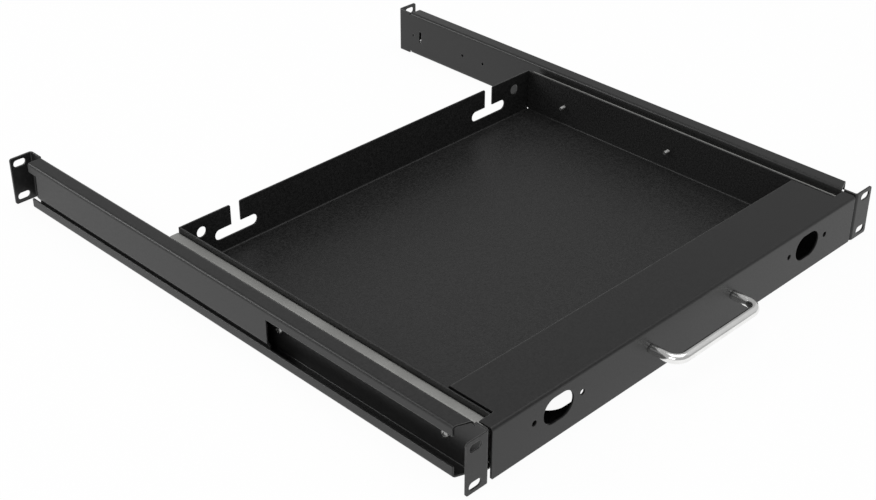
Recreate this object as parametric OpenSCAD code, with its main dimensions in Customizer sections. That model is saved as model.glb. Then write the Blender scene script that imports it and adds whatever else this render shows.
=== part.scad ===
// Rack pull-out shelf, one rack unit high: two folded rails with ears at both ends,
// a folded tray on three-member ball slides, a front cover with a panel, and a rod handle.
// X is the width, with 0 in the middle. Y runs from the front face of the front ears to the rear.
// Z is up, with 0 at the middle of the ears' height, so the origin is the middle of the
// front bolt pattern.

/* [Rack ears] */
// Width over the ears
ear_span = 482.6; // [470:0.1:495]
// Height of the ears and of the rails
rail_h = 44; // [43:0.1:50]
// Sideways distance between the left and right ear slots
slot_span = 465.1; // [460:0.1:470]
// Height between the two slots of an ear
slot_pitch = 31.75; // [28:0.05:34]
// Length of an ear slot
slot_l = 12; // [9:0.5:14]
// Width of an ear slot
slot_w = 6.6; // [5:0.1:7.5]
// Radius of the ears' outer corners
ear_r = 2; // [1:0.5:4]

/* [Rails] */
// Distance from the front face of the front ears to the rear face of the rear ears
rail_len = 543.2; // [500:0.1:620]
// Sheet thickness of the rails
rail_t = 1.5; // [1.2:0.1:2]
// Outboard depth of the rail channel
channel_w = 14.8; // [12:0.1:16]
// Inside radius of every bend in the sheet parts
bend_r = 1.2; // [0.8:0.1:1.6]
// Height of the lip that hangs from the top flange
top_lip = 8.5; // [6:0.5:10]
// Height of the lip that stands on the bottom flange
bottom_lip = 9.5; // [6:0.5:11]
// Distance from the front ears to the flanges, at the web
flange_start = 14.6; // [12:0.1:20]
// How much further back the flanges start at the lips
flange_slant = 5.9; // [2:0.1:8]
// Distance from the flanges' rear end to the rear ears
flange_stop = 17.2; // [12:0.1:25]
// Distance from the front ears to the outer wall
wall_start = 212; // [150:1:260]
// Distance from the outer wall's rear end to the rear ears
wall_stop = 25.8; // [18:0.1:60]
// Height over the rail's bottom edge at which the outer wall starts to step inward
wall_turn = 14.5; // [13:0.1:18]
// How far the outer wall's foot stands in from its face, behind the bottom lip
wall_step = 2.5; // [2:0.1:5]
// Height of that step
wall_slope = 4; // [3:0.5:8]
// Height of the outer wall's lower edge over the rail's bottom edge
wall_foot = 5; // [4:0.5:7]
// Gap between the web and the flange that the outer wall turns in at its rear end
wall_clear = 1.5; // [0.5:0.1:8]
// Width of the notch that relieves the end of a bend
relief_w = 2; // [1:0.1:3]
// Diameter of the pilot holes in the web
pilot_d = 3.2; // [2.5:0.1:4.5]
// Distance from the last pilot hole to the rear face of the rear ears
pilot_back = 20.9; // [15:0.1:24]
// Distance from the middle of the pair of pilot holes to the rear face of the rear ears
pair_back = 104.85; // [70:0.05:125]
// Distance between the two pilot holes of the pair
pair_pitch = 27.9; // [20:0.1:40]
// Width of the upright slot in the web
web_slot_w = 3.2; // [2:0.1:4]
// Height of the upright slot in the web
web_slot_h = 12.7; // [8:0.1:16]
// Distance from the upright slot to the rear face of the rear ears
web_slot_back = 30.7; // [28:0.1:45]

/* [Slides] */
// Depth of a closed slide, from the tray wall to the rail web
slide_w = 13; // [12.8:0.1:15]
// Height of a slide
slide_h = 35.6; // [32:0.1:37]
// Length of a slide
slide_len = 345; // [320:1:400]
// How far the slide axis lies below the middle of the ears
slide_drop = 1.2; // [0:0.1:1.8]
// Gap between the front panel and the slide
slide_gap = 5.4; // [0.3:0.1:8]
// Sheet thickness of the slide members
slide_t = 1.2; // [1:0.05:1.3]
// Inside radius of the bends in the slide members
roll_r = 0.3; // [0.2:0.05:0.4]
// How far the curled lips reach past the middle of the balls
lip_past = 0.3; // [0.1:0.05:0.4]
// Diameter of the bearing balls
ball_d = 2.5; // [2.2:0.05:2.6]
// Clearance round a ball, in its race and in its cage
ball_gap = 0.1; // [0.05:0.01:0.12]
// Depth of the race that is rolled into a member
race_bite = 0.5; // [0.35:0.01:0.55]
// Balls in one row of a cage
balls = 8; // [4:1:8]
// Distance between balls along a row
ball_pitch = 20; // [12:0.5:21]
// Sheet thickness of the ball cages
cage_t = 0.4; // [0.3:0.05:0.45]
// Rim of a ball cage beyond its pockets
cage_rim = 0.35; // [0.2:0.05:0.4]
// Clearance between parts that slide past each other
run_gap = 0.3; // [0.2:0.05:0.35]
// How much shorter the middle member is at each end
mid_short = 5; // [3:0.5:10]
// Length of the rear buffer along the slide
buffer_l = 12; // [8:0.5:20]
// Distance from the front end of a slide to its first rail screw
rail_screw_front = 32; // [27:1:60]
// Distance from the front end of a slide to its second rail screw
rail_screw_mid = 205; // [150:1:240]
// Distance from the last rail screw to the rear end of a slide
rail_screw_rear = 25; // [23:1:60]
// Distance from the front end of a slide to its first tray screw
tray_screw_front = 41; // [27:1:60]
// Distance from the front end of a slide to its second tray screw
tray_screw_mid = 175; // [150:1:240]
// Distance from the last tray screw to the rear end of a slide
tray_screw_rear = 47; // [23:1:60]

/* [Tray] */
// Outside width of the tray
tray_w = 412.4; // [390:0.1:415]
// Distance from the front ears to the rear face of the tray
tray_rear = 352.2; // [300:0.1:400]
// Sheet thickness of the tray
tray_t = 1.2; // [1:0.1:1.6]
// Open seam between two walls at a corner of the tray
corner_seam = 0.3; // [0.1:0.05:0.5]
// Height of the tray floor's underside over the rails' bottom edge
tray_lift = 1.8; // [0.5:0.1:3]
// How far the tray walls stay below the rails' top edge
tray_low = 1; // [0.6:0.1:3]
// Sideways distance from the middle to each rear notch and front opening
port_x = 150.2; // [120:0.1:160]
// Width of the rear notches
notch_w = 9.8; // [7:0.1:12]
// Length of the cross slot of a rear notch
notch_l = 44; // [30:0.5:50]
// How far the cross slot lies below the middle of the ears
notch_drop = 2; // [0:0.1:4]
// Radius at the mouth of a rear notch
notch_r = 1.5; // [0.5:0.1:3]
// Diameter of the round holes in the rear wall
tie_d = 9.5; // [6:0.1:12]
// Sideways distance from the middle to a round hole
tie_x = 185.2; // [182:0.1:188]
// Height of the round holes over the middle of the ears
tie_z = 8.2; // [4:0.1:10]
// Distance from the front ears to the floor opening
hatch_y = 16.8; // [14:0.1:18]
// Width of the floor opening along Y
hatch_w = 33; // [20:0.5:34]
// Length of the floor opening along X
hatch_l = 77; // [50:0.5:90]
// Left end of the floor opening
hatch_x = -140.5; // [-160:0.5:-130]

/* [Front cover] */
// Sheet thickness of the cover
cover_t = 1.5; // [1.2:0.1:2]
// Gap between the front panel and each rail web
panel_gap = 2.4; // [1.5:0.1:4]
// How far the cover's top stays below the rails' top edge, and its foot above the bottom edge
panel_trim = 0.4; // [0.2:0.1:0.8]
// Depth of the cover's top plate
plate_d = 54.5; // [53.5:0.1:70]
// Depth of the wide strip that bridges the slides
strip_d = 12.2; // [8:0.1:16]
// Gap between the top plate and the inside of the tray walls
plate_gap = 2; // [1:0.1:3]
// Width of the tabs under the rear skirt
tab_w = 10; // [6:0.5:16]
// Sideways distance from the middle to the inner tabs
tab_inner = 40; // [20:1:60]
// Sideways distance from the middle to the outer tabs
tab_outer = 180; // [120:1:190]
// Clearance of a tab in its floor slot, on each side
tab_gap = 0.3; // [0.2:0.05:0.5]
// Width of the rounded openings in the panel
port_w = 31.3; // [28:0.1:36]
// Height of the rounded openings in the panel
port_h = 22.1; // [16:0.1:24]
// Height of the openings, their screw holes and the handle over the middle of the ears
port_z = 3.2; // [1:0.1:4]
// Width of the cut-out behind an opening and its screw holes, in the tray's front wall
port_cut_w = 64.4; // [60:0.1:66]
// Height of that cut-out
port_cut_h = 24.5; // [23:0.1:26]
// Distance between the two screw holes beside an opening
port_screws = 50; // [46:0.1:60]
// Diameter of the screw holes beside the openings
port_screw_d = 4.8; // [3:0.1:5.5]
// Radius of the panel's lower corners
panel_r = 1.5; // [0.5:0.1:3]

/* [Handle] */
// Distance between the two legs
handle_w = 100; // [80:0.5:120]
// Diameter of the rod
rod_d = 8; // [7:0.1:10]
// How far the handle stands out from the panel
handle_out = 28.8; // [26:0.1:40]
// Radius of the rod's bends, at its middle line
rod_bend = 10; // [6:0.5:12]

/* [Screws] */
// Diameter of the screws
screw_d = 3.5; // [3:0.1:3.5]
// Diameter of a pan head
head_d = 7; // [6:0.1:8]
// Height of a pan head
head_h = 2.6; // [1.8:0.1:3]
// Height of the flat heads inside the slides
flat_h = 1.4; // [1:0.05:1.5]
// Clearance round a screw in a plain hole
hole_gap = 0.2; // [0.15:0.05:0.5]
// Clearance round a screw in a threaded hole
thread_gap = 0.05; // [0.03:0.01:0.1]
// Length of the screws that hold the slides to the tray
tray_screw_l = 8; // [6:0.5:9]
// Length of the screws that hold the slides to the rails
rail_screw_l = 5; // [4:0.5:6]
// Length of the screws that hold the handle
handle_screw_l = 12; // [9:0.5:14]

/* [Hidden] */
$fn = 48;
// Straight pieces in the arc of a bend
bend_n = 6;
// How far a cut runs on past the sheet that it cuts
over = 1;

coat = "#343434";
zinc = "#b9b9b4";
steel = "#d4d4d2";
brass = "#b59a4c";
rubber = "#202022";
chrome = "#dcdcdc";

// Heights
half_h = rail_h / 2;
slide_z = -slide_drop;
floor_z = -half_h + tray_lift;
floor_top = floor_z + tray_t;
tray_top = half_h - tray_low;
cover_top = half_h - panel_trim;
cover_under = cover_top - cover_t;
low_wall = cover_under - run_gap;
front_wall_top = low_wall - bend_r;

// Widths
tray_half = tray_w / 2;
tray_in = tray_half - tray_t;
web_in = tray_half + slide_w;
web_x = web_in + rail_t / 2;
lip_x = web_in + channel_w - rail_t / 2;
ear_x = ear_span / 2;
panel_half = web_in - panel_gap;
plate_half = tray_in - plate_gap;

// Places along the rails
rail_bend = bend_r + rail_t / 2;
flange_y0 = flange_start;
flange_y1 = rail_len - flange_stop;
wall_y1 = rail_len - wall_stop;
wall_turn_z = -half_h + wall_turn;
slide_y0 = cover_t + slide_gap;
slide_y1 = slide_y0 + slide_len;
mid_y0 = slide_y0 + mid_short;
mid_y1 = slide_y1 - mid_short;
cage_y = (slide_y0 + mid_y1) / 2;
cage_l = balls * ball_pitch;
rail_screw_y = [slide_y0 + rail_screw_front, slide_y0 + rail_screw_mid, slide_y1 - rail_screw_rear];
tray_screw_y = [slide_y0 + tray_screw_front, slide_y0 + tray_screw_mid, slide_y1 - tray_screw_rear];
pair_y = rail_len - pair_back;
pilot_y = [pair_y - pair_pitch / 2, pair_y + pair_pitch / 2, rail_len - pilot_back];
web_slot_y = rail_len - web_slot_back;

// Levels inside a slide, up from its axis
race_r = ball_d / 2 + ball_gap;
race_floor = slide_t - race_bite;
outer_half = slide_h / 2;
outer_ball_v = outer_half - race_floor - race_r;
mid_half = outer_ball_v - race_r + race_bite;
inner_ball_v = mid_half - race_floor - race_r;
inner_half = inner_ball_v - race_r + race_bite;

// Depths inside a slide, out from the tray wall
tray_cage_u = slide_t + flat_h + run_gap;
mid_u = tray_cage_u + cage_t + run_gap;
rail_cage_u = mid_u + slide_t + run_gap;
inner_tip_u = rail_cage_u + cage_t + run_gap;
inner_plate_u = slide_w - slide_t;
rail_ball_u = inner_tip_u + 2 * race_r + run_gap;
tray_ball_u = rail_ball_u - ball_d;
tray_cage_tip = tray_ball_u + race_r + cage_rim;
rail_cage_tip = rail_ball_u + race_r + cage_rim;
outer_lip_u = tray_cage_tip + run_gap;
mid_lip_u = rail_cage_tip + run_gap;

// Tray and cover
tray_bend = bend_r + tray_t / 2;
cover_bend = bend_r + cover_t / 2;
front_wall_y = cover_t;
rear_in = tray_rear - tray_t;
bend_room = tray_t + bend_r;
skirt_y = plate_d - cover_t;
tab_x = [-tab_outer, -tab_inner, tab_inner, tab_outer];
bolt_in = handle_screw_l - cover_t - tray_t;

// Geometry helpers
function unit(v) = v / norm(v);
function left_of(v) = [-v[1], v[0]];
function turned(v, a) = [v[0] * cos(a) - v[1] * sin(a), v[0] * sin(a) + v[1] * cos(a)];

// Points and left normals round one bend of a sheet's middle line
function bend_at(a, b, c, r, n) =
    let (d1 = unit(b - a), d2 = unit(c - b))
    let (angle = acos(d1 * d2), side = sign(cross(d1, d2)))
    let (centre = b - d1 * r * tan(angle / 2) + left_of(d1) * side * r)
    [for (i = [0:n]) let (nv = turned(left_of(d1), side * angle * i / n)) [centre - nv * side * r, nv]];

// The whole middle line of a folded sheet, with a normal at each point
function fold_line(p, r, n) = let (last = len(p) - 1) concat(
    [[p[0], left_of(unit(p[1] - p[0]))]],
    [for (i = [1:1:last - 1]) each bend_at(p[i - 1], p[i], p[i + 1], r, n)],
    [[p[last], left_of(unit(p[last] - p[last - 1]))]]);

// Section of a folded sheet of thickness t along the middle line through the points p
module folded(p, t, r) {
    line = fold_line(p, r, bend_n);
    polygon(concat(
        [for (q = line) q[0] + q[1] * t / 2],
        [for (i = [len(line) - 1:-1:0]) line[i][0] - line[i][1] * t / 2]));
}

// A section drawn in X and Z, run from y0 to y1
module along_y(y0, y1) {
    translate([0, y1, 0]) rotate([90, 0, 0]) linear_extrude(y1 - y0) children();
}

// A section drawn in Y and Z, run from x0 to x1
module along_x(x0, x1) {
    translate([x0, 0, 0]) rotate([90, 0, 90]) linear_extrude(x1 - x0) children();
}

// A straight slot with round ends, long in X
module oblong(l, w) {
    square([l - w, w], center = true);
    for (s = [-1, 1]) translate([s * (l - w) / 2, 0]) circle(d = w);
}

// What a rounded corner of radius r cuts away, for a corner at the origin with the sheet at -X -Y
module corner_waste(r) {
    translate([-r, -r]) difference() {
        square(r + over);
        circle(r);
    }
}

// Round hole through a sheet that lies across X
module hole_x(x, y, z, d, through) {
    translate([x - through, y, z]) rotate([0, 90, 0]) cylinder(h = 2 * through, d = d);
}

// Round hole through a sheet that lies across Y
module hole_y(x, y, z, d, through) {
    translate([x, y + through, z]) rotate([90, 0, 0]) cylinder(h = 2 * through, d = d);
}

// Rail: web and ears folded from one strip, flanges and lips, and the outer wall
module rail_channel() {
    difference() {
        along_y(flange_y0, flange_y1) folded([
            [lip_x, half_h - top_lip], [lip_x, half_h - rail_t / 2],
            [web_x, half_h - rail_t / 2], [web_x, -half_h + rail_t / 2],
            [lip_x, -half_h + rail_t / 2], [lip_x, -half_h + bottom_lip]], rail_t, rail_bend);
        translate([0, 0, -half_h - over]) linear_extrude(rail_h + 2 * over) polygon([
            [web_in, flange_y0], [lip_x + rail_t, flange_y0 + flange_slant],
            [lip_x + rail_t, flange_y0 - over], [web_in, flange_y0 - over]]);
    }
}

// A section drawn in X and Z, cut through the front ear and the rear ear
module through_ears() {
    along_y(-over, rail_t + over) children();
    along_y(rail_len - rail_t - over, rail_len + over) children();
}

// Web and ears, folded, with the ends of the flanges' bends relieved
module rail_strip() {
    trim = rail_t + bend_r;
    difference() {
        translate([0, 0, -half_h]) linear_extrude(rail_h) folded([
            [ear_x, rail_t / 2], [web_x, rail_t / 2],
            [web_x, rail_len - rail_t / 2], [ear_x, rail_len - rail_t / 2]], rail_t, rail_bend);
        for (s = [0, 1]) mirror([0, 0, s])
            translate([web_in - over, flange_y0 - relief_w, half_h - trim])
                cube([rail_t + 2 * over, flange_y1 - flange_y0 + 2 * relief_w, trim + over]);
        for (s = [0, 1]) mirror([0, 0, s])
            through_ears() translate([ear_x, half_h]) corner_waste(ear_r);
    }
}

// Middle line of the outer wall, from the level top to its foot behind the bottom lip
function wall_path(top) = let (foot_x = lip_x - wall_step)
    [[lip_x, top], [lip_x, wall_turn_z],
    [foot_x, wall_turn_z - wall_slope], [foot_x, -half_h + wall_foot]];

// Outer wall: it carries on from the top lip, and its rear end is turned in towards the web
module rail_wall() {
    corner = rail_t + bend_r;
    lip_end = half_h - top_lip;
    fold_z = wall_turn_z + rail_bend;
    fold_y = wall_y1 - rail_t / 2;
    along_y(wall_start, wall_y1 - corner) folded(wall_path(lip_end + over), rail_t, rail_bend);
    along_y(wall_start, wall_y1) folded(wall_path(fold_z), rail_t, rail_bend);
    translate([0, 0, fold_z]) linear_extrude(lip_end - bend_r - fold_z) folded([
        [lip_x, fold_y - 2 * corner], [lip_x, fold_y],
        [web_in + rail_t + wall_clear, fold_y]], rail_t, rail_bend);
}

module rail() {
    difference() {
        union() {
            rail_channel();
            rail_strip();
            rail_wall();
        }
        for (s = [-1, 1])
            through_ears() translate([slot_span / 2, s * slot_pitch / 2]) oblong(slot_l, slot_w);
        for (y = rail_screw_y) hole_x(web_x, y, slide_z, screw_d + 2 * hole_gap, rail_t);
        for (y = pilot_y) hole_x(web_x, y, slide_z, pilot_d, rail_t);
        translate([web_x, web_slot_y, slide_z]) cube([2 * rail_t, web_slot_w, web_slot_h], center = true);
    }
}

// One member of a slide: upper is the middle line of its upper half, from the axis to the tip,
// and each race is the depth and level of a ball row
module member(upper, races, y0, y1) {
    translate([tray_half, 0, slide_z]) difference() {
        for (s = [0, 1]) mirror([0, 0, s]) along_y(y0, y1) folded(upper, slide_t, roll_r + slide_t / 2);
        for (s = [-1, 1], race = races) translate([race[0], y1 + over, s * race[1]])
            rotate([90, 0, 0]) cylinder(h = y1 - y0 + 2 * over, r = race_r);
    }
}

// Upper half of a C section with its plate at depth u and a curled lip at depth lip_u
function lipped(u, half, lip_u, ball_v) =
    let (mid = slide_t / 2)
    [[u + mid, 0], [u + mid, half - mid], [lip_u + mid, half - mid], [lip_u + mid, ball_v - lip_past]];

module tray_member() {
    difference() {
        member(lipped(0, outer_half, outer_lip_u, outer_ball_v), [[tray_ball_u, outer_ball_v]],
            slide_y0, slide_y1);
        for (y = tray_screw_y) hole_x(tray_half, y, slide_z, screw_d + 2 * hole_gap, 2 * slide_t);
    }
}

module middle_member() {
    member(lipped(mid_u, mid_half, mid_lip_u, inner_ball_v),
        [[tray_ball_u, outer_ball_v], [rail_ball_u, inner_ball_v]], mid_y0, mid_y1);
}

module rail_member() {
    mid = slide_t / 2;
    plate = inner_plate_u + mid;
    difference() {
        member([[plate, 0], [plate, inner_half - mid], [inner_tip_u, inner_half - mid]],
            [[rail_ball_u, inner_ball_v]], slide_y0, slide_y1);
        for (y = rail_screw_y)
            hole_x(web_in, y, slide_z, screw_d + 2 * thread_gap, 2 * slide_t);
    }
}

function ball_y(i) = cage_y + (i - (balls - 1) / 2) * ball_pitch;

// Ball cage: a thin C strip with a pocket round each ball
module cage(u, tip_u, ball_u, ball_v) {
    cu = u + cage_t / 2;
    translate([tray_half, 0, slide_z]) difference() {
        along_y(cage_y - cage_l / 2, cage_y + cage_l / 2)
            folded([[tip_u, ball_v], [cu, ball_v], [cu, -ball_v], [tip_u, -ball_v]], cage_t, cage_t);
        for (i = [0:balls - 1], s = [-1, 1])
            translate([ball_u, ball_y(i), s * ball_v]) cylinder(h = 4 * cage_t, r = race_r, center = true);
    }
}

module ball_rows(ball_u, ball_v) {
    for (i = [0:balls - 1], s = [-1, 1])
        translate([tray_half + ball_u, ball_y(i), slide_z + s * ball_v]) sphere(d = ball_d, $fn = 24);
}

// Rear buffer: a moulded block in the rail member, with a nose behind the middle member
module buffer() {
    body_half = inner_half - slide_t - run_gap;
    translate([tray_half, 0, slide_z]) {
        translate([inner_tip_u + run_gap, slide_y1 - buffer_l, -body_half])
            cube([inner_plate_u - inner_tip_u - run_gap, buffer_l, 2 * body_half]);
        translate([mid_u, mid_y1 + run_gap, -body_half])
            cube([inner_tip_u + run_gap - mid_u, slide_y1 - mid_y1 - run_gap, 2 * body_half]);
    }
}

// Pan head screw along X, with its head on the +X side of the origin
module pan_screw(l, h) {
    translate([-l, 0, 0]) rotate([0, 90, 0]) cylinder(h = l, d = screw_d);
    rotate([0, 90, 0]) rotate_extrude() {
        square([head_d / 2 - h / 2, h]);
        square([head_d / 2, h / 2]);
        translate([head_d / 2 - h / 2, h / 2]) circle(h / 2);
    }
}

module rail_screws() {
    for (y = rail_screw_y) translate([web_in + rail_t, y, slide_z]) pan_screw(rail_screw_l, head_h);
}

module tray_screws() {
    for (y = tray_screw_y) translate([tray_half + slide_t, y, slide_z]) pan_screw(tray_screw_l, flat_h);
}

// Tray: floor and side walls, rear wall and front wall, folded from one sheet
module tray_shell() {
    wall_x = tray_half - tray_t / 2;
    level = floor_z + tray_t / 2;
    side_y0 = front_wall_y + tray_t + corner_seam;
    side_y1 = rear_in - corner_seam;
    flat_y0 = front_wall_y + bend_room;
    flat_y1 = tray_rear - bend_room;
    shared = 2 * bend_room;
    above = floor_z + bend_room + corner_seam;
    along_y(flat_y0, flat_y1) folded([
        [-wall_x, tray_top], [-wall_x, level], [wall_x, level], [wall_x, tray_top]], tray_t, tray_bend);
    for (s = [0, 1]) mirror([s, 0, 0]) translate([tray_in, side_y0, above])
        cube([tray_t, side_y1 - side_y0, tray_top - above]);
    along_x(-tray_in, tray_in) folded([
        [flat_y1 - shared, level], [tray_rear - tray_t / 2, level],
        [tray_rear - tray_t / 2, tray_top]], tray_t, tray_bend);
    translate([-tray_half, rear_in, above]) cube([tray_w, tray_t, tray_top - above]);
    along_x(-tray_in, tray_in) folded([
        [flat_y0 + shared, level], [front_wall_y + tray_t / 2, level],
        [front_wall_y + tray_t / 2, front_wall_top]], tray_t, tray_bend);
    translate([-tray_half, front_wall_y, above]) cube([tray_w, tray_t, front_wall_top - above]);
}

// T-shaped notch in the rear wall
module rear_notch() {
    translate([0, -notch_drop]) oblong(notch_l, notch_w);
    translate([-notch_w / 2, -notch_drop]) square([notch_w, tray_top + notch_drop + over]);
    for (s = [0, 1]) mirror([s, 0]) translate([notch_w / 2, tray_top]) difference() {
        translate([-over, -notch_r]) square([notch_r + over, notch_r + over]);
        translate([notch_r, -notch_r]) circle(notch_r);
    }
}

// The two rounded openings, with a screw hole on each side of each
module panel_ports() {
    for (s = [-1, 1]) translate([s * port_x, port_z]) {
        oblong(port_w, port_h);
        for (k = [-1, 1]) translate([k * port_screws / 2, 0]) circle(d = port_screw_d);
    }
}

module tray_body() {
    difference() {
        tray_shell();
        for (s = [0, 1]) mirror([s, 0, 0])
            translate([tray_in - over, -over, low_wall])
                cube([tray_t + 2 * over, strip_d + run_gap + over, rail_h]);
        for (s = [-1, 1])
            along_y(rear_in - over, tray_rear + over) translate([s * port_x, 0]) rear_notch();
        for (s = [-1, 1]) hole_y(s * tie_x, rear_in + tray_t / 2, tie_z, tie_d, tray_t);
        for (s = [-1, 1]) along_y(front_wall_y - over, front_wall_y + tray_t + over)
            translate([s * port_x, port_z]) oblong(port_cut_w, port_cut_h);
        for (s = [-1, 1])
            hole_y(s * handle_w / 2, front_wall_y + tray_t / 2, port_z, screw_d + 2 * hole_gap, tray_t);
        translate([hatch_x + hatch_l / 2, hatch_y + hatch_w / 2, floor_z - over])
            linear_extrude(tray_t + 2 * over) oblong(hatch_l, hatch_w);
        for (x = tab_x) translate([x - tab_w / 2 - tab_gap, skirt_y - tab_gap, floor_z - over])
            cube([tab_w + 2 * tab_gap, cover_t + 2 * tab_gap, tray_t + 2 * over]);
        for (s = [-1, 1], y = tray_screw_y)
            hole_x(s * (tray_half - tray_t / 2), y, slide_z, screw_d + 2 * thread_gap, tray_t);
    }
}

// Front cover: panel, top plate and rear skirt from one sheet, with tabs into the tray floor
module cover_body() {
    panel_foot = -half_h + panel_trim;
    difference() {
        union() {
            along_x(-panel_half, panel_half) folded([
                [cover_t / 2, panel_foot], [cover_t / 2, cover_top - cover_t / 2],
                [plate_d - cover_t / 2, cover_top - cover_t / 2],
                [plate_d - cover_t / 2, floor_top]], cover_t, cover_bend);
            for (x = tab_x) translate([x - tab_w / 2, skirt_y, floor_z])
                cube([tab_w, cover_t, tray_t + over]);
        }
        for (s = [0, 1]) mirror([s, 0, 0]) translate([plate_half, strip_d, floor_z - over])
            cube([panel_half - plate_half + over, plate_d, rail_h + 2 * over]);
        along_y(-over, cover_t + over) panel_ports();
        for (s = [-1, 1]) hole_y(s * handle_w / 2, cover_t / 2, port_z, screw_d + 2 * hole_gap, cover_t);
        for (s = [0, 1]) mirror([s, 0, 0]) along_y(-over, cover_t + over)
            translate([panel_half, panel_foot]) mirror([0, 1]) corner_waste(panel_r);
    }
}

// Handle: a rod bent into a U, with a threaded hole in each leg
module handle_rod() {
    rod_y = -(handle_out - rod_d / 2);
    leg = -rod_y - rod_bend;
    half = handle_w / 2;
    translate([0, 0, port_z]) difference() {
        union() {
            for (s = [0, 1]) mirror([s, 0, 0]) {
                translate([half, 0, 0]) rotate([90, 0, 0]) cylinder(h = leg, d = rod_d);
                translate([half - rod_bend, -leg, 0]) rotate([0, 0, -90])
                    rotate_extrude(angle = 90) translate([rod_bend, 0]) circle(d = rod_d, $fn = 32);
            }
            translate([-half + rod_bend, rod_y, 0]) rotate([0, 90, 0])
                cylinder(h = handle_w - 2 * rod_bend, d = rod_d);
        }
        for (s = [-1, 1]) translate([s * half, over, 0]) rotate([90, 0, 0])
            cylinder(h = bolt_in + 2 * over, d = screw_d + 2 * thread_gap);
    }
}

module handle_bolts() {
    for (s = [-1, 1]) translate([s * handle_w / 2, front_wall_y + tray_t, port_z])
        rotate([0, 0, 90]) pan_screw(handle_screw_l, head_h);
}

module on_left() { mirror([1, 0, 0]) children(); }

module right_rail() { color(coat) rail(); }
module left_rail() { color(coat) on_left() rail(); }
module right_rail_member() { color(zinc) rail_member(); }
module left_rail_member() { color(zinc) on_left() rail_member(); }
module right_middle_member() { color(zinc) middle_member(); }
module left_middle_member() { color(zinc) on_left() middle_member(); }
module right_tray_member() { color(zinc) tray_member(); }
module left_tray_member() { color(zinc) on_left() tray_member(); }
module right_rail_cage() { color(brass) cage(rail_cage_u, rail_cage_tip, rail_ball_u, inner_ball_v); }
module left_rail_cage() { on_left() right_rail_cage(); }
module right_tray_cage() { color(brass) cage(tray_cage_u, tray_cage_tip, tray_ball_u, outer_ball_v); }
module left_tray_cage() { on_left() right_tray_cage(); }
module right_rail_balls() { color(steel) ball_rows(rail_ball_u, inner_ball_v); }
module left_rail_balls() { on_left() right_rail_balls(); }
module right_tray_balls() { color(steel) ball_rows(tray_ball_u, outer_ball_v); }
module left_tray_balls() { on_left() right_tray_balls(); }
module right_buffer() { color(rubber) buffer(); }
module left_buffer() { on_left() right_buffer(); }
module right_rail_screws() { color(steel) rail_screws(); }
module left_rail_screws() { on_left() right_rail_screws(); }
module right_tray_screws() { color(steel) tray_screws(); }
module left_tray_screws() { on_left() right_tray_screws(); }
module tray() { color(coat) tray_body(); }
module front_cover() { color(coat) cover_body(); }
module handle() { color(chrome) handle_rod(); }
module handle_screws() { color(steel) handle_bolts(); }

left_rail();
right_rail();
left_rail_member();
right_rail_member();
left_middle_member();
right_middle_member();
left_tray_member();
right_tray_member();
left_rail_cage();
right_rail_cage();
left_tray_cage();
right_tray_cage();
left_rail_balls();
right_rail_balls();
left_tray_balls();
right_tray_balls();
left_buffer();
right_buffer();
left_rail_screws();
right_rail_screws();
left_tray_screws();
right_tray_screws();
tray();
front_cover();
handle();
handle_screws();
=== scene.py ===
"""Looks of a one-unit pull-out rack shelf.

Black powder-coated sheet, zinc-plated ball slides, cross-recess screws and a chrome rod handle.
Lengths of the parts' classes are millimetres in the part's own frame. Meshes, finishes, lamps and
the camera are in metres.
"""

import logging
import math
from dataclasses import dataclass
from enum import Enum

import bmesh
import bpy
import numpy as np
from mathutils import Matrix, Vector


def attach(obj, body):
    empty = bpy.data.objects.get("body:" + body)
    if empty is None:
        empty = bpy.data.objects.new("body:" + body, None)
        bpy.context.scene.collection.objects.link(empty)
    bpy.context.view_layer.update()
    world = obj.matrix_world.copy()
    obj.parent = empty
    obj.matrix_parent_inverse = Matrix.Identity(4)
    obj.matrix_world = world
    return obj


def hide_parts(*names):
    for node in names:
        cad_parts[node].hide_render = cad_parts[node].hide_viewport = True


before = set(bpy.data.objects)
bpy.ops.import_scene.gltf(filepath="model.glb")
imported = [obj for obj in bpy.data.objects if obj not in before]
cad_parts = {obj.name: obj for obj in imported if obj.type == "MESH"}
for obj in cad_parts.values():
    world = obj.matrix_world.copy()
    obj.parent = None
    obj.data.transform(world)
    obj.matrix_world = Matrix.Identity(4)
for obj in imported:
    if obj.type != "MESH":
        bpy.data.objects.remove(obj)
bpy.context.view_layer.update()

LOG = logging.getLogger("shelf")
MM = 0.001
Colour = tuple[float, float, float]
Point = tuple[float, float, float]
Span = tuple[float, float]


class Side(Enum):
    """The two sides of the shelf, seen from the front, with the sign of X there."""

    LEFT = -1
    RIGHT = 1

    @property
    def label(self) -> str:
        """The side's name as the nodes spell it."""
        return self.name.lower()


# Meshes


def put_in_scene(name: str, data: bpy.types.ID) -> bpy.types.Object:
    """Makes an object from its data, at the origin.

    Args:
        name: the object's name.
        data: its mesh, lamp or camera.

    Returns:
        The object, linked to the scene.
    """
    made = bpy.data.objects.new(name, data)
    bpy.context.scene.collection.objects.link(made)
    return made


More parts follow.
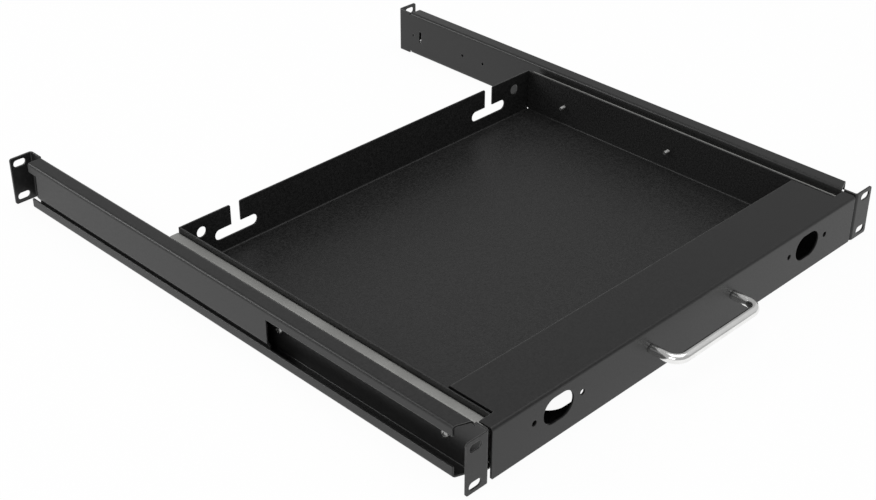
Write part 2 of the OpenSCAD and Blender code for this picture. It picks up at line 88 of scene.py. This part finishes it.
def mesh_from_rings(name: str, rings: np.ndarray, sharp_deg: float) -> bpy.types.Object:
    """Makes a closed skin over a stack of rings.

    Each ring is joined to the next by four-sided faces, with the last point of a ring joined to
    its first. The first and last rings close to one point each, at the mean of the ring.

    Args:
        name: the piece's name.
        rings: points in metres, as rings by points by three.
        sharp_deg: edges that turn by more than this stay sharp.

    Returns:
        The piece, with its place in its mesh.
    """
    count, around, _ = rings.shape
    points = np.concatenate([rings.reshape(-1, 3), rings[:1].mean(1), rings[-1:].mean(1)])
    grid = np.arange(count * around).reshape(count, around)
    turned = np.roll(grid, -1, axis=1)
    quads = np.stack([grid[:-1], grid[1:], turned[1:], turned[:-1]], -1).reshape(-1, 4)
    first = np.stack([np.full(around, count * around), grid[0], turned[0]], -1)
    last = np.stack([np.full(around, count * around + 1), turned[-1], grid[-1]], -1)
    mesh = bpy.data.meshes.new(name)
    mesh.from_pydata(points.tolist(), [], quads.tolist() + first.tolist() + last.tolist())
    face_outwards(mesh)
    mesh.shade_smooth()
    mesh.set_sharp_from_angle(angle=math.radians(sharp_deg))
    return put_in_scene(name, mesh)


def face_outwards(mesh: bpy.types.Mesh) -> None:
    """Turns every face of a closed mesh outwards.

    Args:
        mesh: the mesh to mend in place.
    """
    work = bmesh.new()
    work.from_mesh(mesh)
    bmesh.ops.recalc_face_normals(work, faces=work.faces)
    work.to_mesh(mesh)
    work.free()


def joined(name: str, pieces: list[bpy.types.Object]) -> bpy.types.Object:
    """Joins pieces into one mesh.

    Args:
        name: the joined piece's name.
        pieces: the pieces, which are used up.

    Returns:
        The joined piece, at the origin.
    """
    work = bmesh.new()
    for piece in pieces:
        work.from_mesh(piece.data)
        bpy.data.objects.remove(piece)
    mesh = bpy.data.meshes.new(name)
    work.to_mesh(mesh)
    work.free()
    return put_in_scene(name, mesh)


@dataclass(frozen=True)
class Screw:
    """A machine screw: a head with a cross recess over the seat, a threaded shank below it.

    The recess has two crossed arms that reach arm_half to each side of their line and arm_long
    from the middle. Its sides slope over side_slope and its ends over end_slope, and its bottom
    rises by the share end_rise from the middle to the ends. The head's first ring stands at the
    share first_ring of the quarter turn from the middle to the rim.
    """

    shank_d: float = 3.5
    length: float = 5.0
    pitch: float = 0.6
    thread_deep: float = 0.28
    head_d: float = 7.0
    head_h: float = 2.6
    arm_half: float = 0.5
    arm_long: float = 2.0
    side_slope: float = 0.12
    end_slope: float = 0.2
    end_rise: float = 0.6
    recess_deep: float = 1.5
    around: int = 96
    head_rings: int = 44
    first_ring: float = 0.04
    crowding: float = 1.3
    rings_a_turn: int = 8
    sharp_deg: float = 32.0

    def head(self, turn: np.ndarray) -> np.ndarray:
        """The head's skin from the middle of its top to its rim.

        Radius and height follow a superellipse of power three: R sin(a) and H cos(a), each to the
        power two thirds. The angles a are even steps, raised to a power that crowds them towards
        the middle. The recess sinks the top where a point is nearer than half an arm's width to
        one of two crossed lines.

        Args:
            turn: angle of each point of a ring, in radians.

        Returns:
            Points in millimetres, as rings by points by three.
        """
        share = np.linspace(self.first_ring, 1.0, self.head_rings)[:, None]
        a = share ** self.crowding * math.pi / 2
        power = 2 / 3
        radius = self.head_d / 2 * np.sin(a) ** power + 0 * turn
        dome = self.head_h * np.clip(np.cos(a), 0, 1) ** power + 0 * turn
        arm = (turn + math.pi / 4) % (math.pi / 2) - math.pi / 4
        across = np.abs(radius * np.sin(arm))
        along = radius * np.cos(arm)
        inside = np.clip((self.arm_half - across) / self.side_slope, 0, 1)
        inside = inside * np.clip((self.arm_long - along) / self.end_slope, 0, 1)
        sunk = inside * self.recess_deep * (1 - self.end_rise * along / self.arm_long)
        return np.stack([radius * np.cos(turn), radius * np.sin(turn), dome - sunk], -1)

    def shank(self, turn: np.ndarray) -> np.ndarray:
        """The shank's skin from the seat to the tip.

        The radius falls from the crest by a triangle wave of the height along the axis plus a
        pitch for every turn, and the last pitch tapers to the thread's root.

        Args:
            turn: angle of each point of a ring, in radians.

        Returns:
            Points in millimetres, as rings by points by three.
        """
        steps = int(self.length / self.pitch * self.rings_a_turn)
        down = np.linspace(0, self.length, steps)[:, None]
        phase = (down / self.pitch + turn / (2 * math.pi)) % 1
        wave = 2 * np.abs(phase - 0.5)
        taper = np.clip((down - self.length + self.pitch) / self.pitch, 0, 1)
        radius = self.shank_d / 2 - self.thread_deep * np.maximum(wave, taper)
        return np.stack([radius * np.cos(turn), radius * np.sin(turn), -down + 0 * turn], -1)

    def build(self, name: str, seat: Point, outwards: Point) -> bpy.types.Object:
        """Makes the screw with its head on the given side of its seat.

        Args:
            name: the piece's name.
            seat: middle of the head's underside, in millimetres.
            outwards: unit vector from the seat to the head's top, level with the floor.

        Returns:
            The screw as one closed piece.
        """
        turn = np.linspace(0, 2 * math.pi, self.around, endpoint=False)[None, :]
        local = np.concatenate([self.head(turn), self.shank(turn)])
        axis = np.array(outwards, float)
        across = np.array([0.0, 0.0, 1.0])
        other = np.cross(axis, across)
        placed = local @ np.stack([across, other, axis]) + np.array(seat, float)
        return mesh_from_rings(name, placed * MM, self.sharp_deg)

    def build_set(self, name: str, seats: list[Point], outwards: Point) -> bpy.types.Object:
        """Makes equal screws at several seats as one piece.

        Args:
            name: the piece's name.
            seats: middle of each head's underside, in millimetres.
            outwards: unit vector from a seat to its head's top, level with the floor.

        Returns:
            The screws as one piece.
        """
        made = [self.build(f"{name}_{i}", seat, outwards) for i, seat in enumerate(seats)]
        return joined(name, made)


@dataclass(frozen=True)
class ScrewRow:
    """A row of equal screws along one slide, with their heads to the shelf's outside.

    The seats stand at seat_x from the middle, at the places along Y and at the same level.
    """

    seat_x: float
    along: tuple[float, ...]
    level: float = -1.2
    screw: Screw = Screw()

    def build(self, name: str, side: Side) -> bpy.types.Object:
        """Makes the row on one side.

        Args:
            name: the piece's name.
            side: the side that the row is on.

        Returns:
            The row as one piece.
        """
        seats = [(side.value * self.seat_x, y, self.level) for y in self.along]
        return self.screw.build_set(name, seats, (side.value, 0, 0))


# Shader groups

# The Mix node's colour sockets share their names with others, so they are taken by place.
MIX_SHARE, MIX_COLOURS, MIX_RESULT = 0, (6, 7), 2
# Ranges of ramps: all of a share, and the part where most values of a noise lie.
WHOLE: Span = (0.0, 1.0)
NOISE_BULK: Span = (0.3, 0.7)
PATCH_BULK: Span = (0.35, 0.65)


class Bench:
    """A node tree with short ways to add and join nodes."""

    def __init__(self, tree: bpy.types.NodeTree) -> None:
        """Takes the tree to work in.

        Args:
            tree: a material's or a group's tree.
        """
        self.tree = tree

    def add(self, kind: str, **settings: object) -> bpy.types.Node:
        """Adds a node.

        Args:
            kind: the node's type name.
            settings: attributes of the node and their values.

        Returns:
            The node.
        """
        node = self.tree.nodes.new(kind)
        for name, value in settings.items():
            setattr(node, name, value)
        return node

    def plug(self, value: object, socket: bpy.types.NodeSocket) -> None:
        """Links an output socket to an input, or sets the input's value.

        Args:
            value: an output socket, or a number or colour with its alpha.
            socket: the input.
        """
        if isinstance(value, bpy.types.NodeSocket):
            self.tree.links.new(value, socket)
        else:
            socket.default_value = value

    def feed(self, node: bpy.types.Node, **values: object) -> bpy.types.Node:
        """Sets or links a node's inputs by name, with spaces written as underscores.

        Args:
            node: the node to feed.
            values: numbers and colours to set, or output sockets to link.

        Returns:
            The same node.
        """
        for name, value in values.items():
            self.plug(value, node.inputs[name.replace("_", " ")])
        return node

    def clamped(self, operation: str, first: object, second: object) -> bpy.types.NodeSocket:
        """Works out one operation of two values, and clamps it between 0 and 1.

        Args:
            operation: the Math node's operation.
            first: a number or an output socket.
            second: a number or an output socket.

        Returns:
            The result's socket.
        """
        node = self.add("ShaderNodeMath", operation=operation, use_clamp=True)
        for socket, value in zip(node.inputs, (first, second)):
            self.plug(value, socket)
        return node.outputs[0]

    def ramp(self, value: bpy.types.NodeSocket, span: Span, to: Span) -> bpy.types.NodeSocket:
        """Maps one range of a value onto another, clamped.

        Args:
            value: the value's socket.
            span: the range that it is read over.
            to: the range that it is put out over.

        Returns:
            The result's socket.
        """
        node = self.add("ShaderNodeMapRange")
        self.feed(node, Value=value, From_Min=span[0], From_Max=span[1], To_Min=to[0], To_Max=to[1])
        return node.outputs["Result"]

    def mix(
            self, share: bpy.types.NodeSocket, first: object,
            second: object) -> bpy.types.NodeSocket:
        """Mixes two colours.

        Args:
            share: the second colour's share.
            first: a colour or an output socket.
            second: a colour or an output socket.

        Returns:
            The mixed colour's socket.
        """
        node = self.add("ShaderNodeMix", data_type="RGBA")
        self.plug(share, node.inputs[MIX_SHARE])
        for place, value in zip(MIX_COLOURS, (first, second)):
            colour = value if isinstance(value, bpy.types.NodeSocket) else (*value, 1.0)
            self.plug(colour, node.inputs[place])
        return node.outputs[MIX_RESULT]

    def place(self) -> bpy.types.NodeSocket:
        """The place on the object, in metres."""
        return self.add("ShaderNodeTexCoord").outputs["Object"]

    def noise(
            self, place: bpy.types.NodeSocket, scale: bpy.types.NodeSocket,
            detail: float) -> bpy.types.NodeSocket:
        """Adds a noise texture.

        Args:
            place: the place that it is read at.
            scale: swells a metre.
            detail: how many finer layers it has.

        Returns:
            The noise's socket.
        """
        node = self.add("ShaderNodeTexNoise")
        return self.feed(node, Vector=place, Scale=scale, Detail=detail).outputs[0]

    def bump(
            self, height: bpy.types.NodeSocket, deep: float,
            **normal: bpy.types.NodeSocket) -> bpy.types.NodeSocket:
        """Adds a bump.

        Args:
            height: the height's socket.
            deep: the height's full depth, in metres.
            normal: the normal that it starts from, as Normal, where it isn't the surface's own.

        Returns:
            The normal's socket.
        """
        node = self.add("ShaderNodeBump")
        return self.feed(node, Height=height, Distance=deep, **normal).outputs[0]


@dataclass(frozen=True)
class Grouped:
    """A shader node group with named inputs and outputs, built once."""

    name: str
    inputs: tuple[tuple[str, float], ...]
    outputs: tuple[tuple[str, str], ...]

    def start(self) -> tuple[Bench, bpy.types.Node, bpy.types.Node]:
        """Makes the empty group.

        Returns:
            Its bench, its input node and its output node.
        """
        tree = bpy.data.node_groups.new(self.name, "ShaderNodeTree")
        for label, value in self.inputs:
            socket = tree.interface.new_socket(label, in_out="INPUT", socket_type="NodeSocketFloat")
            socket.default_value = value
        for label, kind in self.outputs:
            tree.interface.new_socket(label, in_out="OUTPUT", socket_type=kind)
        bench = Bench(tree)
        return bench, bench.add("NodeGroupInput"), bench.add("NodeGroupOutput")

    def use(self, bench: Bench, **values: float) -> bpy.types.Node:
        """Puts the group into a material with its own values.

        Args:
            bench: the material's bench.
            values: the group's inputs by name.

        Returns:
            The group's node.
        """
        node = bench.add("ShaderNodeGroup")
        node.node_tree = bpy.data.node_groups[self.name]
        return bench.feed(node, **values)


PEEL = Grouped(
    "orange_peel",
    (("Coarse", 500.0), ("Fine", 1600.0)),
    (("Height", "NodeSocketFloat"), ("Mottle", "NodeSocketFloat")),
)
STREAKS = Grouped(
    "rolling_streaks",
    (("Lines", 900.0), ("Blotches", 30.0)),
    (("Height", "NodeSocketFloat"), ("Patches", "NodeSocketFloat")),
)
# Rounded normals for edges, and a mark where the coats paint an edge highlight.
EDGES = Grouped(
    "rounded_edges",
    (("Radius", 0.0005), ("Breakup", 300.0)),
    (("Edge", "NodeSocketFloat"), ("Normal", "NodeSocketVector")),
)


def build_peel() -> None:
    """Small swells of a cured powder coat: a coarse and a fine noise, added as three to two."""
    coarse_share, fine_share = 0.6, 0.4
    bench, given, out = PEEL.start()
    place = bench.place()
    coarse = bench.noise(place, given.outputs["Coarse"], detail=2.0)
    fine = bench.noise(place, given.outputs["Fine"], detail=1.0)
    low = bench.clamped("MULTIPLY", coarse, coarse_share)
    high = bench.clamped("MULTIPLY", fine, fine_share)
    bench.feed(out, Height=bench.clamped("ADD", low, high))
    bench.feed(out, Mottle=bench.ramp(coarse, NOISE_BULK, WHOLE))


def build_streaks() -> None:
    """Lines that the rolls leave along Y: noise stretched fifty to one, with soft patches."""
    squeeze = (1.0, 0.02, 1.0)
    bench, given, out = STREAKS.start()
    place = bench.place()
    drawn = bench.feed(bench.add("ShaderNodeMapping"), Vector=place, Scale=squeeze).outputs[0]
    soft = bench.noise(place, given.outputs["Blotches"], detail=4.0)
    bench.feed(out, Height=bench.noise(drawn, given.outputs["Lines"], detail=3.0))
    bench.feed(out, Patches=bench.ramp(soft, PATCH_BULK, WHOLE))


def build_edges() -> None:
    """Marks and rounds sharp edges: the edge is where the rounded normal leaves the flat one.

    The mark, where the coats paint a highlight, rises as the cosine between the two normals falls,
    and a noise breaks it up.
    """
    edge_cosines, break_span, break_shares = (0.99, 0.75), (0.3, 0.6), (0.35, 1.0)
    bench, given, out = EDGES.start()
    rounded = bench.add("ShaderNodeBevel", samples=12)
    bench.feed(rounded, Radius=given.outputs["Radius"])
    dot = bench.add("ShaderNodeVectorMath", operation="DOT_PRODUCT")
    bench.plug(rounded.outputs[0], dot.inputs[0])
    bench.plug(bench.add("ShaderNodeNewGeometry").outputs["Normal"], dot.inputs[1])
    edge = bench.ramp(dot.outputs["Value"], edge_cosines, WHOLE)
    patchy = bench.noise(bench.place(), given.outputs["Breakup"], detail=3.0)
    broken = bench.ramp(patchy, break_span, break_shares)
    bench.feed(out, Edge=bench.clamped("MULTIPLY", edge, broken), Normal=rounded.outputs[0])


# Finishes


def new_material(name: str, shader_kind: str) -> tuple[bpy.types.Material, Bench, bpy.types.Node]:
    """Makes an empty material with one shader.

    Args:
        name: the material's name.
        shader_kind: type name of the shader that goes to its output.

    Returns:
        The material, its bench and the shader.
    """
    material = bpy.data.materials.new(name)
    material.use_nodes = True
    material.node_tree.nodes.clear()
    bench = Bench(material.node_tree)
    shader = bench.add(shader_kind)
    bench.feed(bench.add("ShaderNodeOutputMaterial"), Surface=shader.outputs[0])
    return material, bench, shader


def grey(level: float) -> Colour:
    """A neutral colour."""
    return (level, level, level)


@dataclass(frozen=True)
class PowderCoat:
    """Black powder coat on sheet steel, with a fine orange peel and a painted highlight along its
    edges and bends.

    The peel's coarse and fine swells are counted to the metre, and its depth and the edges'
    radius are in metres.
    """

    name: str
    colour: Colour
    fleck: Colour
    edge: Colour
    roughness: Span = (0.32, 0.42)
    ior: float = 1.43
    coarse: float = 520.0
    fine: float = 1700.0
    peel_deep: float = 0.00002
    edge_radius: float = 0.0008

    def build(self) -> bpy.types.Material:
        """Makes the finish.

        Returns:
            The material.
        """
        material, bench, shader = new_material(self.name, "ShaderNodeBsdfPrincipled")
        peel = PEEL.use(bench, Coarse=self.coarse, Fine=self.fine)
        edges = EDGES.use(bench, Radius=self.edge_radius)
        flecked = bench.mix(peel.outputs["Mottle"], self.colour, self.fleck)
        # Edges and bends get a lighter colour: a painted highlight, broken into patches by a noise.
        with_edge_highlight = bench.mix(edges.outputs["Edge"], flecked, self.edge)
        rough = bench.ramp(peel.outputs["Mottle"], WHOLE, self.roughness)
        bump = bench.bump(peel.outputs["Height"], self.peel_deep, Normal=edges.outputs["Normal"])
        bench.feed(shader, Base_Color=with_edge_highlight, Roughness=rough, IOR=self.ior, Normal=bump)
        return material


@dataclass(frozen=True)
class PlatedSteel:
    """Plated or polished steel, with rolling streaks and soft patches.

    The streaks' lines are counted to the metre, and their depth is in metres.
    """

    name: str
    colour: Colour
    patch: Colour
    roughness: Span
    lines: float = 900.0
    streak_deep: float = 0.000006

    def build(self) -> bpy.types.Material:
        """Makes the finish.

        Returns:
            The material.
        """
        material, bench, shader = new_material(self.name, "ShaderNodeBsdfPrincipled")
        streaks = STREAKS.use(bench, Lines=self.lines)
        plated = bench.mix(streaks.outputs["Patches"], self.colour, self.patch)
        rough = bench.ramp(streaks.outputs["Height"], NOISE_BULK, self.roughness)
        bump = bench.bump(streaks.outputs["Height"], self.streak_deep)
        bench.feed(shader, Base_Color=plated, Metallic=1.0, Roughness=rough, Normal=bump)
        return material


@dataclass(frozen=True)
class SatinChrome:
    """Satin chrome plate of the handle: soft, with faint patches."""

    name: str = "handle_chrome"
    colour: Colour = (0.9, 0.9, 0.89)
    haze: Colour = (0.82, 0.82, 0.81)
    roughness: Span = (0.14, 0.19)
    lines: float = 400.0
    blotches: float = 60.0
    coarse: float = 260.0

    def build(self) -> bpy.types.Material:
        """Makes the finish.

        Returns:
            The material.
        """
        material, bench, shader = new_material(self.name, "ShaderNodeBsdfPrincipled")
        streaks = STREAKS.use(bench, Lines=self.lines, Blotches=self.blotches)
        peel = PEEL.use(bench, Coarse=self.coarse)
        plated = bench.mix(streaks.outputs["Patches"], self.colour, self.haze)
        rough = bench.ramp(peel.outputs["Mottle"], WHOLE, self.roughness)
        bench.feed(shader, Base_Color=plated, Metallic=1.0, Roughness=rough)
        return material


@dataclass(frozen=True)
class MouldedRubber:
    """Matt black rubber of the slides' buffers."""

    name: str = "buffer_rubber"
    colour: Colour = (0.018, 0.018, 0.019)
    bloom: Colour = (0.034, 0.034, 0.036)
    roughness: Span = (0.72, 0.88)
    coarse: float = 900.0
    fine: float = 2600.0
    peel_deep: float = 0.00003

    def build(self) -> bpy.types.Material:
        """Makes the finish.

        Returns:
            The material.
        """
        material, bench, shader = new_material(self.name, "ShaderNodeBsdfPrincipled")
        peel = PEEL.use(bench, Coarse=self.coarse, Fine=self.fine)
        shade = bench.mix(peel.outputs["Mottle"], self.colour, self.bloom)
        rough = bench.ramp(peel.outputs["Mottle"], WHOLE, self.roughness)
        bump = bench.bump(peel.outputs["Height"], self.peel_deep)
        bench.feed(shader, Base_Color=shade, Roughness=rough, Normal=bump)
        return material


def dress(node: str, material: bpy.types.Material) -> None:
    """Gives a CAD node its finish.

    Args:
        node: the node's name.
        material: the finish.
    """
    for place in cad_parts[node].material_slots:
        place.material = material
    LOG.info("%s: finished in %s", node, material.name)


def fit(
        piece: bpy.types.Object, body: str, material: bpy.types.Material,
        node: str) -> None:
    """Finishes a new piece and lets it stand for a CAD node.

    Args:
        piece: the new piece.
        body: the body that it rides on.
        material: its finish.
        node: the CAD node that it replaces.
    """
    piece.data.materials.append(material)
    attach(piece, body)
    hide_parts(node)
    LOG.info("%s: rides on %s, %d faces", piece.name, body, len(piece.data.polygons))


# Sub-assemblies


@dataclass(frozen=True)
class RailPair:
    """The two folded rails, with the slides' fixed members, buffers and screws."""

    screws: ScrewRow = ScrewRow(seat_x=220.7, along=(38.9, 211.9, 326.9))
    # The coat's light edge colour is a painted highlight along the rails' bends.
    coat: PowderCoat = PowderCoat(
        "rail_coat", colour=grey(0.012), fleck=grey(0.018), edge=grey(0.16))
    rubber: MouldedRubber = MouldedRubber()

    def build(self, zinc: bpy.types.Material, steel: bpy.types.Material) -> None:
        """Dresses the rails and makes their screws.

        Args:
            zinc: finish of the slide members.
            steel: finish of the screws.
        """
        coat, rubber = self.coat.build(), self.rubber.build()
        for side in Side:
            dress(f"{side.label}_rail", coat)
            dress(f"{side.label}_rail_member", zinc)
            dress(f"{side.label}_buffer", rubber)
            row = self.screws.build(f"{side.label}_rail_screw_set", side)
            fit(row, "rails", steel, f"{side.label}_rail_screws")


@dataclass(frozen=True)
class SlideRunners:
    """What runs between the rails and the tray: middle members, ball cages and balls."""

    cage: PlatedSteel = PlatedSteel(
        "cage_strip", colour=(0.58, 0.55, 0.47), patch=(0.5, 0.48, 0.42), roughness=(0.3, 0.42))
    ball: PlatedSteel = PlatedSteel(
        "ball_polish", colour=(0.72, 0.72, 0.73), patch=(0.66, 0.66, 0.68), roughness=(0.06, 0.12),
        lines=400.0, streak_deep=0.000001)

    def build(self, zinc: bpy.types.Material) -> None:
        """Dresses the runners.

        Args:
            zinc: finish of the middle members.
        """
        cage, ball = self.cage.build(), self.ball.build()
        for side in Side:
            dress(f"{side.label}_middle_member", zinc)
            for row in ("rail", "tray"):
                dress(f"{side.label}_{row}_cage", cage)
                dress(f"{side.label}_{row}_balls", ball)


@dataclass(frozen=True)
class RodHandle:
    """The chrome rod, bent into a U in a level plane, with a screw into each end.

    The bar's front stands out from the panel's plane by out, the middle line turns on the radius
    bend, and the ends are smaller by end_round all round.
    """

    width: float = 100.0
    rod_d: float = 8.0
    out: float = 28.8
    bend: float = 10.0
    level: float = 3.2
    end_round: float = 0.35
    around: int = 64
    arc_steps: int = 28
    leg_steps: int = 12
    sharp_deg: float = 50.0
    screw_seat: float = 2.7
    screw: Screw = Screw(length=12.0)
    chrome: SatinChrome = SatinChrome()

    def centre_line(self) -> tuple[np.ndarray, np.ndarray]:
        """The rod's middle line: a leg, a quarter turn, the bar, a quarter turn and a leg.

        Returns:
            Points in X and Y in millimetres, and the unit normal at each, to the U's outside.
        """
        bar = -(self.out - self.rod_d / 2)
        turn = np.linspace(0, math.pi / 2, self.arc_steps)
        normal = np.stack([np.cos(turn), -np.sin(turn)], -1)
        corner = np.array([self.width / 2 - self.bend, bar + self.bend])
        arc = corner + self.bend * normal
        leg_y = np.linspace(0, arc[0, 1], self.leg_steps)
        leg = np.stack([np.full(self.leg_steps, self.width / 2), leg_y], -1)[:-1]
        half = np.concatenate([leg, arc])
        normals = np.concatenate([np.tile([1.0, 0.0], (len(leg), 1)), normal])
        flip = np.array([-1.0, 1.0])
        line = np.concatenate([half, half[::-1] * flip])
        return line, np.concatenate([normals, normals[::-1] * flip])

    def rod(self) -> bpy.types.Object:
        """Makes the rod: a circle carried along the middle line, with its ends eased.

        Returns:
            The rod as one closed piece.
        """
        line, normals = self.centre_line()
        turn = np.linspace(0, 2 * math.pi, self.around, endpoint=False)[None, :, None]
        radius = np.full((len(line), 1, 1), self.rod_d / 2)
        radius[[0, -1]] -= self.end_round
        across = np.concatenate([normals, np.zeros((len(line), 1))], 1)[:, None, :]
        middle = np.concatenate([line, np.full((len(line), 1), self.level)], 1)[:, None, :]
        upwards = np.array([0, 0, 1.0])
        rings = middle + radius * (np.cos(turn) * across + np.sin(turn) * upwards)
        return mesh_from_rings("rod_handle", rings * MM, self.sharp_deg)

    def build(self, steel: bpy.types.Material) -> None:
        """Makes the rod and the screws that hold it.

        Args:
            steel: finish of the screws behind the panel.
        """
        fit(self.rod(), "drawer", self.chrome.build(), "handle")
        seats = [(x, self.screw_seat, self.level) for x in (-self.width / 2, self.width / 2)]
        pair = self.screw.build_set("handle_screw_set", seats, (0, 1, 0))
        fit(pair, "drawer", steel, "handle_screws")


@dataclass(frozen=True)
class Drawer:
    """The folded tray with its front cover, slide members, screws and handle."""

    screws: ScrewRow = ScrewRow(
        seat_x=207.4, along=(47.9, 181.9, 304.9),
        screw=Screw(length=8.0, head_h=1.4, recess_deep=0.9))
    # The coats' lighter edge colours are a painted highlight along the tray's and cover's edges.
    tray_coat: PowderCoat = PowderCoat(
        "tray_coat", colour=grey(0.007), fleck=grey(0.019), edge=grey(0.04),
        roughness=(0.36, 0.5), coarse=600.0, fine=1300.0, peel_deep=0.0003)
    cover_coat: PowderCoat = PowderCoat(
        "cover_coat", colour=grey(0.009), fleck=grey(0.014), edge=grey(0.035),
        roughness=(0.34, 0.44), ior=1.42)
    handle: RodHandle = RodHandle()

    def build(self, zinc: bpy.types.Material, steel: bpy.types.Material) -> None:
        """Dresses the drawer and makes its screws and handle.

        Args:
            zinc: finish of the slide members.
            steel: finish of the screws.
        """
        dress("tray", self.tray_coat.build())
        dress("front_cover", self.cover_coat.build())
        for side in Side:
            dress(f"{side.label}_tray_member", zinc)
            row = self.screws.build(f"{side.label}_tray_screw_set", side)
            fit(row, "drawer", steel, f"{side.label}_tray_screws")
        self.handle.build(steel)


# Studio


@dataclass(frozen=True)
class Softbox:
    """A large square area lamp, with its place and size in metres and its power in watts."""

    name: str
    place: Point
    size: float
    power: float

    def build(self, aim: Point) -> None:
        """Hangs the lamp and turns it to the shelf.

        Args:
            aim: the point that it looks at, in metres.
        """
        data = bpy.data.lights.new(self.name, "AREA")
        data.size, data.energy = self.size, self.power
        lamp = put_in_scene(self.name, data)
        lamp.location = self.place
        lamp.rotation_euler = (Vector(aim) - lamp.location).to_track_quat("-Z", "Y").to_euler()


@dataclass(frozen=True)
class PhotoCamera:
    """The camera at the photograph's angle: metres, degrees, and lens and sensor in millimetres."""

    place: Point = (-0.81822, -0.54910, 0.66348)
    turn: Point = (58.210, -0.123, -44.990)
    lens: float = 64.704
    sensor: float = 36.0
    nearest: float = 0.01

    def build(self) -> None:
        """Sets the camera up as the scene's own."""
        data = bpy.data.cameras.new("photo_camera")
        data.lens, data.sensor_width, data.clip_start = self.lens, self.sensor, self.nearest
        camera = put_in_scene("photo_camera", data)
        camera.location = self.place
        camera.rotation_euler = tuple(math.radians(a) for a in self.turn)
        bpy.context.scene.camera = camera


@dataclass(frozen=True)
class Floor:
    """A pale floor under the shelf that glows near white where it is seen or mirrored.

    Its level and half its width are in metres.
    """

    level: float = -0.022
    half: float = 30.0
    shade: Colour = grey(0.9)
    glow: float = 0.95

    def finish(self) -> bpy.types.Material:
        """Makes the paper: a matt shade, mixed with a glow for the rays that see it.

        Returns:
            The material.
        """
        material, bench, blend = new_material("floor_paper", "ShaderNodeMixShader")
        paper = bench.feed(bench.add("ShaderNodeBsdfDiffuse"), Color=(*self.shade, 1.0))
        glow = bench.feed(bench.add("ShaderNodeEmission"), Strength=1.0)
        rays = bench.add("ShaderNodeLightPath").outputs
        seen = bench.clamped("MAXIMUM", rays["Is Camera Ray"], rays["Is Glossy Ray"])
        seen = bench.clamped("MAXIMUM", seen, rays["Is Transmission Ray"])
        share = bench.clamped("MULTIPLY", seen, self.glow)
        for socket, value in zip(blend.inputs, (share, paper.outputs[0], glow.outputs[0])):
            bench.plug(value, socket)
        return material

    def build(self) -> None:
        """Makes the floor."""
        signs = ((-1, -1), (1, -1), (1, 1), (-1, 1))
        corners = [(x * self.half, y * self.half, self.level) for x, y in signs]
        mesh = bpy.data.meshes.new("studio_floor")
        mesh.from_pydata(corners, [], [(0, 1, 2, 3)])
        mesh.materials.append(self.finish())
        put_in_scene("studio_floor", mesh)


@dataclass(frozen=True)
class Studio:
    """Pale floor, soft light from all round (the air), softboxes and the camera."""

    air: float = 0.42
    aim: Point = (0.0, 0.25, 0.0)
    boxes: tuple[Softbox, ...] = (
        Softbox("key_box", (-2.7, -1.0, 1.6), 1.8, 19.0),
        Softbox("top_box", (0.4, -0.2, 3.0), 2.4, 40.0),
        Softbox("rear_box", (-1.6, 2.4, 1.5), 1.0, 23.0),
        Softbox("back_box", (2.0, 2.9, 0.5), 1.2, 3.0),
        Softbox("side_box", (2.6, -0.6, 1.3), 3.0, 6.0),
    )
    floor: Floor = Floor()
    camera: PhotoCamera = PhotoCamera()

    def build(self) -> None:
        """Makes the floor, the lamps, the world and the camera."""
        self.floor.build()
        for box in self.boxes:
            box.build(self.aim)
        world = bpy.data.worlds.new("studio_air")
        world.use_nodes = True
        back = world.node_tree.nodes["Background"]
        back.inputs["Color"].default_value = (1, 1, 1, 1)
        back.inputs["Strength"].default_value = self.air
        bpy.context.scene.world = world
        bpy.context.scene.view_settings.view_transform = "Standard"
        self.camera.build()


def main() -> None:
    """Builds the shelf's looks and the studio, in order."""
    logging.basicConfig(level=logging.INFO, format="%(name)s: %(message)s")
    for build_group in (build_peel, build_streaks, build_edges):
        build_group()
    zinc = PlatedSteel(
        "slide_zinc", colour=(0.4, 0.4, 0.388), patch=(0.34, 0.34, 0.33),
        roughness=(0.58, 0.7)).build()
    steel = PlatedSteel(
        "screw_zinc", colour=(0.4, 0.4, 0.39), patch=(0.34, 0.34, 0.34), roughness=(0.34, 0.46),
        lines=1200.0).build()
    Studio().build()
    RailPair().build(zinc, steel)
    SlideRunners().build(zinc)
    Drawer().build(zinc, steel)


if __name__ == "__main__":
    main()
